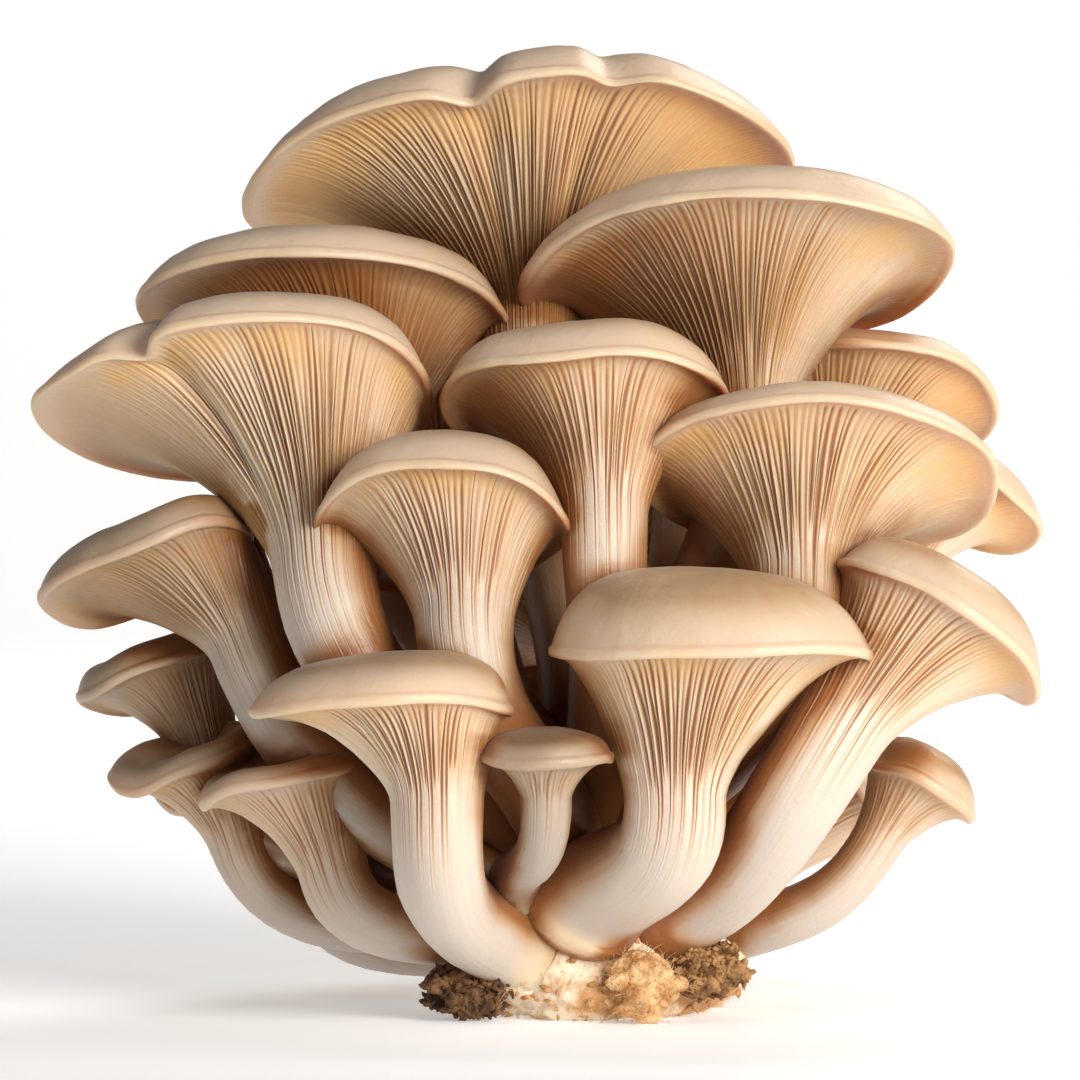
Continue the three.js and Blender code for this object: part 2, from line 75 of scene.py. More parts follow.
MUSHROOMS = [
    # The front row, whose stems show whole
    mushroom("front_right", cap=(20, -41, 65), lean=(3, 90), half=(26.4, 21.5), stem_at=(-6, 2),
             cup=25, dome=7, roll=6, dish=0, neck=8.5, foot=10.5, root=(-2, -16, 18),
             rise=(0.5, -0.4, 0.9), flare=0.75, drop=0.7, ripple=0.03, lift=0.8),
    mushroom("front_left", cap=(-34.5, -41, 55), lean=(10, 90), half=(21, 18), stem_at=(9, 0), cup=16,
             dome=5, roll=4, dish=0, neck=7.8, foot=8.5, root=(-10, -13, 11), rise=(-0.8, -0.35, 0.4),
             start=0.42, hang=0.4, ripple=0.04, lift=1),
    mushroom("front_small", cap=(-7.6, -46, 48), lean=(4, 270), half=(10.5, 9.5), stem_at=(0, 0),
             cup=8, dome=1.3, roll=2, dish=0, neck=4.4, foot=4.8, root=(-13, -19, 20),
             rise=(-0.1, -0.4, 0.9), hang=0.5, lift=0.5),
    mushroom("low_right", cap=(58, -28, 67.5), lean=(36, 32), half=(20, 18), stem_at=(-6, 0), cup=24,
             dome=6, roll=4, dish=1, neck=8.5, foot=8.5, root=(11, -12, 17), rise=(0.9, -0.3, 0.35)),
    mushroom("small_right", cap=(56, -12, 40), lean=(30, 15), half=(10.5, 10), stem_at=(-2, 0), cup=12,
             dome=4, roll=2, dish=0, neck=4.6, foot=6.5, root=(14, -2, 13), rise=(1, -0.1, 0.2),
             lift=0.8),
    # The middle, whose caps lean back and show their gills
    mushroom("centre_left", cap=(-25, -25, 84.5), lean=(33, 90), half=(21.6, 20), stem_at=(4, 1),
             cup=19, dome=5, roll=7, dish=1, neck=8.2, foot=7, root=(-4, -9, 26), rise=(-0.1, -0.4, 1)),
    mushroom("centre", cap=(-0.7, -12, 105), lean=(31, 90), half=(23.4, 19), stem_at=(3, 1), cup=22,
             roll=6.5, dish=1, neck=7.4, foot=6.5, root=(1, -5, 34), rise=(0.1, -0.2, 1)),
    mushroom("right_wide", cap=(39, -14, 92.5), lean=(37, 90), half=(30, 22.5), spin=3,
             stem_at=(-4, 2), cup=22, roll=5, neck=9, foot=7, root=(8, -5, 30), rise=(0.6, -0.2, 0.8)),
    mushroom("left_wide", cap=(-60, -6, 105), lean=(34, 92), half=(34, 25), spin=-1, stem_at=(15, 3),
             cup=32, dome=5, roll=7, dish=4, neck=9, foot=7, root=(-8, -3, 27), rise=(-0.5, -0.3, 0.8),
             notch=((238, 8, 0.2),)),
    mushroom("left_mid", cap=(-75, -11, 76.5), lean=(30, 130), half=(18.5, 16), stem_at=(13, 4),
             cup=18, dome=3, roll=5, dish=3, neck=7.5, foot=6, root=(-12, -6, 21),
             rise=(-0.9, -0.2, 0.4)),
    mushroom("low_left", cap=(-53, -16, 42.5), lean=(15, 195), half=(14, 12.5), stem_at=(5, 1), cup=19,
             dome=2, roll=2, dish=6, neck=6, foot=6.2, root=(-12, -8, 13), rise=(-0.95, -0.1, 0.3)),
    # The upper tier
    mushroom("upper_right", cap=(25.5, 9, 126.5), lean=(31, 92), half=(36.3, 27), spin=-13,
             stem_at=(0, 4), cup=26, roll=8, dish=5, neck=8, foot=7, root=(6, 3, 38),
             rise=(0.15, -0.1, 1)),
    mushroom("upper_left", cap=(-45.5, 16, 118.5), lean=(27, 92), half=(33, 24), spin=23,
             stem_at=(9, 3), cup=25, roll=7, dish=4, neck=7.5, foot=6, root=(-6, 4, 36),
             rise=(-0.4, 0, 1)),
    mushroom("top", cap=(-11.5, 35, 140), lean=(36, 90), half=(46.8, 33), spin=-11, stem_at=(1, 4),
             cup=28, dome=5, roll=10, dish=9, neck=9, foot=7.5, root=(0, 9, 40), rise=(0, 0.1, 1),
             notch=((232, 24, -0.1), (265, 6, 0.16), (299, 6, 0.1)), lift=3),
    mushroom("right_behind", cap=(46, 24, 103), lean=(36, 84), half=(25, 20), stem_at=(-4, 2), cup=20,
             neck=7, foot=6, root=(9, 6, 31), rise=(0.6, 0.1, 0.8)),
    mushroom("far_right", cap=(61, 16, 87), lean=(34, 60), half=(17, 15), stem_at=(-4, 0), cup=16,
             neck=5.5, foot=5, root=(13, 5, 25), rise=(0.8, 0.2, 0.5)),
    mushroom("left_low", cap=(-74, 7, 56.5), lean=(25, 132), half=(14, 13), stem_at=(5, 1), cup=15,
             dome=2, roll=4, dish=3, neck=5.5, foot=5.2, root=(-14, -1, 19), rise=(-0.9, 0, 0.4)),
    mushroom("left_lowest", cap=(-69, -4, 44), lean=(18, 205), half=(13, 12), stem_at=(5, 0), cup=17,
             dome=2, roll=2, dish=4, neck=5.5, foot=5.2, root=(-14, -2, 12), rise=(-0.95, 0, 0.3)),
    mushroom("low_edge", cap=(-60, 12, 38.5), lean=(11, 185), half=(15, 13), stem_at=(8, 0), cup=17,
             dome=3, roll=2, dish=2, neck=5.5, foot=5.5, root=(-13, 5, 9), rise=(-0.95, 0, 0.15)),
    # The back, whose caps lean further and lie over each other
    mushroom("back_high", cap=(22, 51.5, 98.5), lean=(52, 84), half=(27, 21), stem_at=(-2, 2),
             root=(6, 13, 28), rise=(0.25, 0.55, 0.85)),
    mushroom("back_left", cap=(-32, 46, 92), lean=(50, 106), half=(28, 21), stem_at=(3, 2),
             root=(-5, 11, 28), rise=(-0.4, 0.5, 0.8)),
    mushroom("back_right", cap=(49, 40, 66), lean=(48, 52), half=(20, 20), stem_at=(-3, -1),
             root=(12, 9, 22), rise=(0.7, 0.5, 0.5)),
    mushroom("back_middle", cap=(0, 60, 70), lean=(58, 92), half=(26, 20), stem_at=(0, 1),
             root=(1, 15, 23), rise=(0, 0.8, 0.6)),
    mushroom("back_low_left", cap=(-41, 44, 58), lean=(54, 126), half=(20, 19), stem_at=(2, 0),
             root=(-10, 11, 20), rise=(-0.6, 0.6, 0.5)),
    mushroom("back_low_right", cap=(30, 53, 42), lean=(60, 66), half=(20, 18), stem_at=(-1, -1),
             root=(9, 13, 14), rise=(0.5, 0.8, 0.3)),
    mushroom("back_low", cap=(-12, 57, 40), lean=(64, 98), half=(20, 17), stem_at=(0, -1),
             root=(-3, 16, 13), rise=(-0.2, 0.9, 0.35)),
    mushroom("back_lowest", cap=(-42, 35.5, 31), lean=(60, 140), half=(15, 15), stem_at=(0, 0), cup=16,
             neck=5.5, foot=5.5, root=(-12, 9, 10), rise=(-0.7, 0.55, 0.25)),
    mushroom("right_lowest", cap=(43, 27, 35), lean=(52, 30), half=(15, 15), stem_at=(0, 0), cup=16,
             neck=5.5, foot=5.5, root=(14, 5, 10), rise=(0.9, 0.3, 0.25)),
]

# The shapes: the same formulas as the solids have

def unit(v):
    v = np.asarray(v, float)
    return v / np.linalg.norm(v)


def draw(seed, place):
    """A repeatable draw from 0 to 1 for a seed and a place in its series."""
    x = math.sin(seed * 12.9898 + place * 78.233) * 43758.5453
    return x - math.floor(x)


def draws(seed, count):
    return np.array([draw(seed, i) for i in range(count)])


def smooth(x):
    """0 below 0, 1 above 1, and an even climb between."""
    x = np.clip(x, 0, 1)
    return x * x * (3 - 2 * x)


def set_axes(m):
    """Adds the cap's own directions and the stem's curve to a row."""
    lean, azimuth = (math.radians(x) for x in m["lean"])
    level = math.sin(lean)
    up = np.array([level * math.cos(azimuth), level * math.sin(azimuth), math.cos(lean)])
    across = unit(np.array([1.0, 0, 0]) - up[0] * up)
    across = np.array(Matrix.Rotation(math.radians(m["spin"]), 3, Vector(up)) @ Vector(across))
    m.update(up=up, across=across, slope=np.cross(up, across), centre=np.array(m["cap"], float))
    neck = in_cap(m, m["stem_at"][0], m["stem_at"][1], -m["cup"])
    root = np.array(m["root"], float)
    long = np.linalg.norm(neck - root)
    m["line"] = (root, root + m["start"] * long * unit(m["rise"]), neck - m["hang"] * long * up, neck)


def in_cap(m, across, along, height):
    """Points in the cap's frame, from numbers or from lists of them."""
    steps = np.multiply.outer(across, m["across"]) + np.multiply.outer(along, m["slope"])
    return m["centre"] + steps + np.multiply.outer(height, m["up"])


def waves(seed, phi, first):
    total = 0
    for share, count, place in ((0.5, 2, 0), (0.35, 3, 1), (0.2, 5, 2)):
        total = total + share * np.sin(count * phi + TURN * draw(seed, first + place))
    return total


def rim_at(m, phi):
    """The rim as seen from the stem's axis: x, y, how far it is, and its height."""
    reach = 1 + m["ripple"] * waves(m["seed"], phi, 1)
    for azimuth, width, depth in m["notch"]:
        off = (phi - math.radians(azimuth) + math.pi) % TURN - math.pi
        reach = reach * (1 - depth * np.exp(-((off / math.radians(width)) ** 2)))
    x = m["half"][0] * np.cos(phi) * reach - m["stem_at"][0]
    y = m["half"][1] * np.sin(phi) * reach - m["stem_at"][1]
    return x, y, np.hypot(x, y), m["lift"] * waves(m["seed"], phi, 5)


def top_height(m, share, rim_height, follow=1):
    crown = m["dome"] * (1 - share**2.6) + m["roll"] * (1 - share**9) - m["dish"] * (1 - share**2) ** 2
    return rim_height * share**2 + follow * crown


def cap_points(m, rim, share, height):
    x, y, _, _ = rim
    return in_cap(m, m["stem_at"][0] + share * x, m["stem_at"][1] + share * y, height)


def under_points(m, phi, part):
    """The underside: part runs from 0 at the neck to 1 at the rim."""
    rim = rim_at(m, phi)
    beta = part * math.pi / 2
    inner = m["neck"] / rim[2]
    share = inner + (1 - inner) * (1 - math.cos(beta)) ** m["flare"]
    fall = top_height(m, inner, rim[3], m["tuck"]) - EDGE + m["cup"]
    height = top_height(m, share, rim[3], m["tuck"]) - EDGE - fall * (1 - math.sin(beta)) ** m["drop"]
    return cap_points(m, rim, share, height)


def edge_points(m, phi, part):
    """The rounded edge: part runs from 0 underneath to 1 on top."""
    rim = rim_at(m, phi)
    reach = 1 + LIP * math.sin(math.pi * part) / rim[2]
    height = top_height(m, 1, rim[3]) - EDGE / 2 * (1 + math.cos(math.pi * part))
    return cap_points(m, rim, reach, height)


def top_points(m, phi, share):
    rim = rim_at(m, phi)
    return cap_points(m, rim, share, top_height(m, share, rim[3]))


def on_curve(c, v):
    w = 1 - v
    return w**3 * c[0] + 3 * w * w * v * c[1] + 3 * w * v * v * c[2] + v**3 * c[3]


def way_of(c, v):
    w = 1 - v
    return unit(3 * w * w * (c[1] - c[0]) + 6 * w * v * (c[2] - c[1]) + 3 * v * v * (c[3] - c[2]))


def stem_frames(m, shares):
    """The stem's cross directions at each share of its length, carried down from the neck."""
    e1 = m["across"]
    last = 1.0
    frames = []
    for share in shares:
        for k in range(1, 9):
            way = way_of(m["line"], last + (share - last) * k / 8)
            e1 = unit(e1 - np.dot(e1, way) * way)
        last = share
        frames.append((e1, np.cross(way, e1)))
    return frames


def stem_points(m, frame_at, share, phi):
    x, y, _, _ = rim_at(m, phi)
    turn = np.arctan2(y, x) + m["twist"] * (1 - share) ** 2
    rough = math.sqrt(1 - share)
    uneven = 0.04 * np.sin(2 * turn + m["seed"]) + 0.03 * np.sin(3 * turn + 2 * m["seed"])
    radius = m["neck"] + (m["foot"] - m["neck"]) * (1 - share) ** 1.3 - 0.6 * math.sin(math.pi * share)
    reach = radius * (1 + rough * uneven)
    e1, e2 = frame_at
    sideways = np.multiply.outer(reach * np.cos(turn), e1) + np.multiply.outer(reach * np.sin(turn), e2)
    return on_curve(m["line"], share) + sideways


# Gills

ACROSS_GILL = (0, 0.2, 0.5, 0.8)  # the crest, its flank, the gap, and the next one's flank
FLANK = 0.55  # share of a gill's height that its flanks have
BESIDE = 0.6  # share of a gap's depth that its flanks have at least
SUNK = 0.5  # share of the gills' height that lies below the plain skin


def gill_heights(m, gills, part):
    """Height of each gill, 0 to 1, at part: 0 at the neck, 1 at the rim, below 0 down the stem.

    Every fourth gill runs down the stem, the one between two of those ends near the neck, and the odd
    ones end halfway out. Each ends at its own place.
    """
    k = np.arange(gills)
    own = draws(m["seed"] + ENDS, gills)
    middling = np.where(k % 4 == 2, -0.1 + 0.25 * own, -0.8 - 0.4 * own)
    start = np.where(k % 2 == 1, 0.25 + 0.25 * own, middling)
    alive = smooth((part - start) / np.where(k % 4 == 0, 0.8, 0.3))
    alive = alive * np.where(k % 2 == 1, 0.7, 1)
    down_the_stem = 0.03 + 0.97 * smooth((part + 0.3) / 0.65)
    towards_the_rim = (1 - 0.7 * smooth((part - 0.45) / 0.4)) * (1 - smooth((part - 0.88) / 0.12))
    return alive * down_the_stem * towards_the_rim


def gill_angles(m, gills, part):
    """The angle of every point round a ring: gills stand unevenly and wander a little on the way."""
    drift = draws(m["seed"] + DRIFT, gills) - 0.5
    crest = np.arange(gills + 1) + 0.45 * np.append(drift, drift[0])
    crest = crest + 0.3 * np.sin(4 * part + 9 * np.append(drift, drift[0]))
    phase = np.add.outer(np.arange(gills), ACROSS_GILL).ravel()
    return np.interp(phase, np.arange(gills + 1), crest) * TURN / gills


def gill_form(heights):
    """How far the skin rises at every point of a ring, and how deep in a gap it lies, 0 to 1."""
    following = np.roll(heights, -1)
    gap = np.maximum(heights, following)
    rise = np.stack([heights, FLANK * heights, 0 * heights, FLANK * following], axis=1)
    beside = np.maximum(heights, BESIDE * gap)
    beside_next = np.maximum(following, BESIDE * gap)
    tall = np.stack([heights, beside, gap, beside_next], axis=1)
    depth = (tall - rise) / np.maximum(tall, 0.01)
    hollow = depth**1.5 * np.clip(2 * tall, 0, 1)
    return (rise - SUNK * tall).ravel(), hollow.ravel()


# Skins: lists of rings of points, each with what the finish needs to know there

class Skin:
    """Collects rings from the root to the middle of the top, and makes one closed mesh of them."""

    def __init__(self):
        self.points = []
        self.rise = []
        self.hollow = []
        self.along = []
        self.angle = []
        self.rings = []
        self.count = 0

    def ring(self, points, along, angle, rise=0.0, hollow=0.0):
        """rise is how far the gills lift the skin here, and hollow how deep it lies between them."""
        points = np.atleast_2d(points)
        self.rings.append((self.count, len(points)))
        self.count += len(points)
        self.points.append(points)
        told = ((self.along, along), (self.angle, angle), (self.rise, rise), (self.hollow, hollow))
        for kept, values in told:
            kept.append(np.broadcast_to(values, len(points)))

    def faces(self):
        quads = []
        triangles = []
        for (first, n), (after, m) in zip(self.rings, self.rings[1:]):
            if n == m:
                i = np.arange(n)
                j = (i + 1) % n
                quads.append(np.stack([first + i, first + j, after + j, after + i], axis=1))
            else:
                triangles.extend(zip_rings(first, n, after, m))
        return np.concatenate(quads), np.array(triangles)

    def mesh(self, name):
        quads, triangles = self.faces()
        mesh = bpy.data.meshes.new(name)
        mesh.from_pydata(np.concatenate(self.points) * MM, [], quads.tolist() + triangles.tolist())
        mesh.shade_smooth()
        for key, values in (("rise", self.rise), ("hollow", self.hollow), ("along", self.along)):
            add_values(mesh, key, np.concatenate(values))
        self.lay_out(mesh)
        return mesh

    def lay_out(self, mesh):
        """The UV map: the angle round the stem, and the way along from root to top."""
        angle = np.concatenate(self.angle) / TURN
        along = np.concatenate(self.along) / 3
        corner = np.zeros(len(mesh.loops), np.int32)
        mesh.loops.foreach_get("vertex_index", corner)
        sizes = np.zeros(len(mesh.polygons), np.int32)
        mesh.polygons.foreach_get("loop_total", sizes)
        face = np.repeat(np.arange(len(sizes)), sizes)
        u = angle[corner]
        highest = np.zeros(len(sizes))
        np.maximum.at(highest, face, u)
        u = np.where((highest[face] > 0.75) & (u < 0.25), u + 1, u)
        layer = mesh.uv_layers.new(name="UVMap")
        layer.data.foreach_set("uv", np.stack([u, along[corner]], axis=1).astype(np.float32).ravel())


def add_values(mesh, name, values):
    """A number for each point of a mesh, for its finish or its tree to read."""
    layer = mesh.attributes.new(name, "FLOAT", "POINT")
    layer.data.foreach_set("value", values.astype(np.float32))


def zip_rings(first, n, after, m):
    """Triangles between two closed rings of any counts, of which either may be one point."""
    faces = []
    i = j = 0
    while i < n or j < m:
        p = first + i % n
        q = after + j % m
        if j >= m or (i < n and (i + 1) / n <= (j + 1) / m):
            i += 1
            if n > 1:
                faces.append((p, first + i % n, q))
        else:
            j += 1
            if m > 1:
                faces.append((p, after + j % m, q))
    return faces


def even_angles(count):
    return np.arange(count) * TURN / count


# Where the rings lie: down the stem, out under the cap, round its edge and in over its top
BARE_SHARES = (0.42, 0.36, 0.3, 0.24, 0.18, 0.12, 0.06, 0)
GILLED_SHARES = (1, 0.96, 0.92, 0.87, 0.82, 0.76, 0.7, 0.63, 0.56, 0.49)
UNDER_PARTS = (0.05, 0.1, 0.15, 0.2, 0.25, 0.3, 0.35, 0.4, 0.46, 0.52, 0.58, 0.64, 0.7, 0.76, 0.81,
               0.86, 0.9, 0.94, 0.97, 1)
EDGE_PARTS = (0.2, 0.4, 0.6, 0.8, 1)
TOP_SHARES = (0.992, 0.975, 0.95, 0.92, 0.88, 0.83, 0.77, 0.7, 0.62, 0.54, 0.45, 0.36, 0.27, 0.18, 0.09)
ROUND_ROOT = ((0.6, 0), (0.55, 0.4), (0.42, 0.7), (0.2, 0.92))  # how far behind the root, and how wide


def grow(m):
    """The fine skin of one mushroom, from its root over the gills to the middle of its top."""
    set_axes(m)
    rim = rim_at(m, even_angles(90))
    corners = np.stack([rim[0], rim[1]], axis=1)
    around = np.linalg.norm(corners - np.roll(corners, 1, axis=0), axis=1).sum()
    gills = 4 * round(around / GILL_SPACING / 4)
    shares = GILLED_SHARES + BARE_SHARES
    frames = dict(zip(shares, stem_frames(m, shares)))
    clear = min(1, 1.4 * m["half"][0] / FULL_HALF_WIDTH)
    shown = FAINTEST + (1 - FAINTEST) * smooth((-np.sin(even_angles(gills)) - 0.45) / 0.45)
    strong = 0.3 + 0.7 * draws(m["seed"] + STRENGTH, gills)
    skin = Skin()
    bare = even_angles(gills // 2)
    first = stem_points(m, frames[0], 0, bare)
    middle = on_curve(m["line"], 0)
    for back, wide in ROUND_ROOT:
        end = middle - back * m["foot"] * way_of(m["line"], 0)
        skin.ring(end + wide * (first - middle) if wide else end, 0, bare if wide else 0)
    for share in reversed(BARE_SHARES):
        skin.ring(stem_points(m, frames[share], share, bare), share, bare)

    def gilled(part, points_at, along):
        heights = gill_heights(m, gills, part)
        angle = gill_angles(m, gills, part)
        rise, hollow = gill_form(heights * (0.3 + 0.7 * shown))
        hollow = hollow * np.repeat(shown * strong, len(ACROSS_GILL))
        skin.ring(points_at(angle), along, angle, rise, clear * hollow)

    for share in reversed(GILLED_SHARES):
        gilled(share - 1, lambda phi: stem_points(m, frames[share], share, phi), share)
    for part in UNDER_PARTS:
        gilled(part, lambda phi: under_points(m, phi, part), 1 + part)
    top = even_angles(gills * 2)
    for part in EDGE_PARTS:
        skin.ring(edge_points(m, top, part), 2 + 0.04 * part, top)
    for share in TOP_SHARES:
        skin.ring(top_points(m, top, share), 3 - 0.96 * share, top)
    skin.ring(in_cap(m, *m["stem_at"], top_height(m, 0, 0)), 3, 0)
    return skin


# How closed in each part is: deep between its neighbours the flesh is painted with browner shade

SHELTER_REACH = 45 * MM
SHELTER_SPOTS = 14  # looked from on each ring
SHELTER_WAYS = 11  # looked along from each spot
CLEAR_OF_SKIN = 1.5 * MM
GOLDEN_ANGLE = math.pi * (3 - math.sqrt(5))


def solids_tree():
    """All the solids as one tree for casting rays."""
    points = []
    faces = []
    for node in sorted(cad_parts):
        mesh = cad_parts[node].data
        first = len(points)
        points.extend(vertex.co.copy() for vertex in mesh.vertices)
        faces.extend([first + i for i in face.vertices] for face in mesh.polygons)
    return BVHTree.FromPolygons(points, faces)


def half_sphere(count):
    """Directions spread over a half sphere, denser towards its pole, +Z."""
    k = np.arange(count) + 0.5
    tilt = np.arcsin(np.sqrt(k / count))
    turn = k * GOLDEN_ANGLE
    return np.stack([np.sin(tilt) * np.cos(turn), np.sin(tilt) * np.sin(turn), np.cos(tilt)], axis=1)


def on_ring(ring, share):
    return ring[np.round(share * len(ring)).astype(int) % len(ring)]


def closed_in(start, ways, solids):
    """0 where nothing is within reach along any way, up to 1."""
    total = 0
    for way in ways:
        far = solids.ray_cast(Vector(start), Vector(way), SHELTER_REACH)[3]
        if far is not None:
            total += 1 - far / SHELTER_REACH
    return total / len(ways)


def sheltered(skin, solids):
    """How closed in every point of a skin is, looked at from a few spots on each ring."""
    share = np.arange(SHELTER_SPOTS) / SHELTER_SPOTS
    step = 0.5 / SHELTER_SPOTS
    ways = half_sphere(SHELTER_WAYS)
    rings = [ring * MM for ring in skin.points]
    values = [np.zeros(1)]
    for before, ring, after in zip(rings, rings[1:], rings[2:]):
        here = on_ring(ring, share)
        ahead = on_ring(ring, share + step) - on_ring(ring, share - step)
        onward = on_ring(after, share) - on_ring(before, share)
        seen = []
        for spot, along, up in zip(here, ahead, onward):
            out = unit(np.cross(along, up))
            along = unit(along)
            axes = np.stack([along, np.cross(out, along), out])
            seen.append(closed_in(spot + CLEAR_OF_SKIN * out, ways @ axes, solids))
        place = np.arange(len(ring)) / len(ring)
        values.append(np.interp(place, np.append(share, 1), np.append(seen, seen[0])))
    values.append(np.zeros(1) + values[-1].mean())
    return np.concatenate(values)


# Geometry node trees

def new_tree(name, *inputs):
    """A geometry tree with named inputs. Returns it with its input and output nodes."""
    tree = bpy.data.node_groups.new(name, "GeometryNodeTree")
    tree.interface.new_socket("Geometry", in_out="INPUT", socket_type="NodeSocketGeometry")
    for label, kind in inputs:
        tree.interface.new_socket(label, in_out="INPUT", socket_type="NodeSocket" + kind)
    tree.interface.new_socket("Geometry", in_out="OUTPUT", socket_type="NodeSocketGeometry")
    return tree, tree.nodes.new("NodeGroupInput"), tree.nodes.new("NodeGroupOutput")


def add_node(tree, kind, links=(), **settings):
    """A node with its settings made, and its sockets linked or filled by (socket, source) pairs."""
    node = tree.nodes.new(kind)
    for key, value in settings.items():
        setattr(node, key, value)
    for socket, source in links:
        if isinstance(source, bpy.types.NodeSocket):
            tree.links.new(source, node.inputs[socket])
        else:
            node.inputs[socket].default_value = source
    return node


def math_node(tree, operation, *values):
    links = list(enumerate(values))
    return add_node(tree, "ShaderNodeMath", links, operation=operation).outputs[0]


def finish_tree(tree, geometry, material, output):
    """Ends a tree in Realize Instances and Set Material."""
    real = add_node(tree, "GeometryNodeRealizeInstances", [("Geometry", geometry)])
    links = [("Geometry", real.outputs[0]), ("Material", material)]
    painted = add_node(tree, "GeometryNodeSetMaterial", links)
    tree.links.new(painted.outputs[0], output.inputs[0])


def run_tree(obj, tree, **values):
    """Runs a tree on an object and returns a plain mesh object with the result."""
    modifier = obj.modifiers.new(tree.name, "NODES")
    modifier.node_group = tree
    for item in tree.interface.items_tree:
        key = item.name.lower().replace(" ", "_")
        if item.in_out == "INPUT" and key in values:
            modifier[item.identifier] = values[key]
    graph = bpy.context.evaluated_depsgraph_get()
    mesh = bpy.data.meshes.new_from_object(
        obj.evaluated_get(graph), preserve_all_data_layers=True, depsgraph=graph)
    obj.modifiers.remove(modifier)
    return mesh


def gills_tree():
    """Lifts the gills out of a plain skin, and makes all of it as uneven as grown flesh is."""
    tree, given, output = new_tree(
        "raise gills", ("Gill depth", "Float"), ("Unevenness", "Float"), ("Uneven size", "Float"),
        ("Seed", "Float"), ("Material", "Material"))
    rise = add_node(tree, "GeometryNodeInputNamedAttribute", [("Name", "rise")], data_type="FLOAT")
    lift = math_node(tree, "MULTIPLY", rise.outputs[0], given.outputs["Gill depth"])
    size = math_node(tree, "DIVIDE", 1.0, given.outputs["Uneven size"])
    noise = add_node(
        tree, "ShaderNodeTexNoise", [("W", given.outputs["Seed"]), ("Scale", size), ("Detail", 3.0)],
        noise_dimensions="4D")
    centred = math_node(tree, "SUBTRACT", noise.outputs[0], 0.5)
    uneven = math_node(tree, "MULTIPLY", centred, given.outputs["Unevenness"])
    total = math_node(tree, "ADD", lift, uneven)
    outwards = add_node(tree, "GeometryNodeInputNormal").outputs[0]
    offset = add_node(
        tree, "ShaderNodeVectorMath", [(0, outwards), ("Scale", total)], operation="SCALE")
    moved = add_node(
        tree, "GeometryNodeSetPosition", [("Geometry", given.outputs[0]), ("Offset", offset.outputs[0])])
    finish_tree(tree, moved.outputs[0], given.outputs["Material"], output)
    return tree


MOST_TILT = 0.9  # of a scattered copy from upright, in radians


def scatter_tree():
    """Scatters turned and scaled copies of a shape over a surface, more of them where shag is high."""
    tree, given, output = new_tree(
        "scatter", ("Shape", "Object"), ("Density", "Float"), ("Smallest", "Float"), ("Largest", "Float"),
        ("Seed", "Int"), ("Material", "Material"))
    shag = add_node(tree, "GeometryNodeInputNamedAttribute", [("Name", "shag")], data_type="FLOAT")
    density = math_node(tree, "MULTIPLY", shag.outputs[0], given.outputs["Density"])
    points = add_node(
        tree, "GeometryNodeDistributePointsOnFaces",
        [("Mesh", given.outputs[0]), ("Density", density), ("Seed", given.outputs["Seed"])])
    shape = add_node(tree, "GeometryNodeObjectInfo", [("Object", given.outputs["Shape"])])
    spin = add_node(
        tree, "FunctionNodeRandomValue", [("Seed", given.outputs["Seed"])], data_type="FLOAT_VECTOR")
    spin.inputs[0].default_value = (-MOST_TILT, -MOST_TILT, 0)
    spin.inputs[1].default_value = (MOST_TILT, MOST_TILT, TURN)
    turned = add_node(
        tree, "FunctionNodeRotateRotation",
        [("Rotation", points.outputs["Rotation"]), ("Rotate By", spin.outputs[0])], rotation_space="LOCAL")
    scale = add_node(
        tree, "FunctionNodeRandomValue",
        [(2, given.outputs["Smallest"]), (3, given.outputs["Largest"]), ("Seed", given.outputs["Seed"])],
        data_type="FLOAT")
    copies = add_node(
        tree, "GeometryNodeInstanceOnPoints",
        [("Points", points.outputs[0]), ("Instance", shape.outputs["Geometry"]),
         ("Rotation", turned.outputs[0]), ("Scale", scale.outputs[1])])
    finish_tree(tree, copies.outputs[0], given.outputs["Material"], output)
    return tree


# Finishes

def new_finish(name, **sockets):
    """A material with these constants on its Principled shader. Returns it, its tree and the shader."""
    material = bpy.data.materials.new(name)
    material.use_nodes = True
    tree = material.node_tree
    shader = tree.nodes["Principled BSDF"]
    for key, value in sockets.items():
        shader.inputs[key.replace("_", " ")].default_value = value
    return material, tree, shader


def read(tree, name):
    return add_node(tree, "ShaderNodeAttribute", attribute_name=name).outputs["Fac"]


def ramp(tree, value, low, high):
    """0 where value is low, 1 where it is high, and an even climb between."""
    links = [("Value", value), ("From Min", low), ("From Max", high)]
    return add_node(tree, "ShaderNodeMapRange", links, interpolation_type="SMOOTHSTEP").outputs[0]


def blend(tree, share, first, second):
    links = [("Factor", share), (6, first), (7, second)]
    return add_node(tree, "ShaderNodeMix", links, data_type="RGBA").outputs[2]


def grain(tree, vector, size, detail=3.0, stretch=(1, 1, 1)):
    """Noise with features of that size, 0 to 1, on coordinates that may be stretched."""
    laid = add_node(tree, "ShaderNodeMapping", [("Vector", vector), ("Scale", stretch)])
    links = [("Vector", laid.outputs[0]), ("Scale", 1 / size), ("Detail", detail)]
    return add_node(tree, "ShaderNodeTexNoise", links).outputs[0]


def add_bump(tree, shader, height, strength, depth):
    links = [("Height", height), ("Strength", strength), ("Distance", depth)]
    tree.links.new(add_node(tree, "ShaderNodeBump", links).outputs[0], shader.inputs["Normal"])


